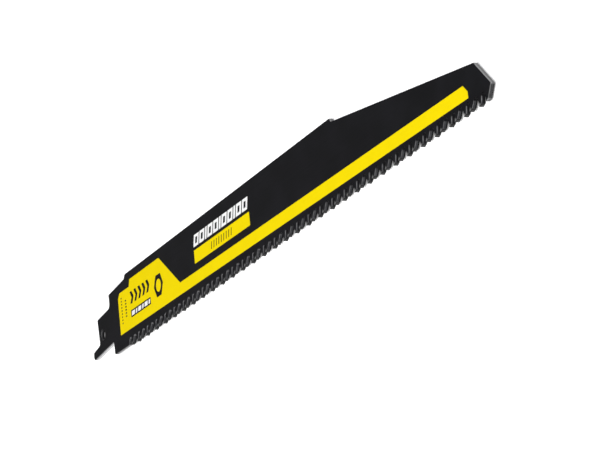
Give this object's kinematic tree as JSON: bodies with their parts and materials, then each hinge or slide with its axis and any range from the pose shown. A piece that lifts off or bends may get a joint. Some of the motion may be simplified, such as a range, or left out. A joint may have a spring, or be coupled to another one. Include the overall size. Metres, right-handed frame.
{
  "type": "reciprocating saw blade",
  "caption": "Long flat toothed steel blade with a canted slotted shank, a stepped and tapered spine, a cut-off nose and a printed face.",
  "frame": {"origin": "under the middle of the blade's outline, on the plane that the tips of the lower teeth rest on", "axes": "+X from the shank to the nose, +Y from the teeth to the spine, +Z out of the printed face"},
  "size_m": [0.3048, 0.0254, 0.0019],
  "materials": {
    "coated_steel": "satin black coat with yellow and white print, and bare hard-metal tips on the teeth"
  },
  "bodies": {
    "root": {"saw_blade": "coated_steel"}
  },
  "joints": []
}
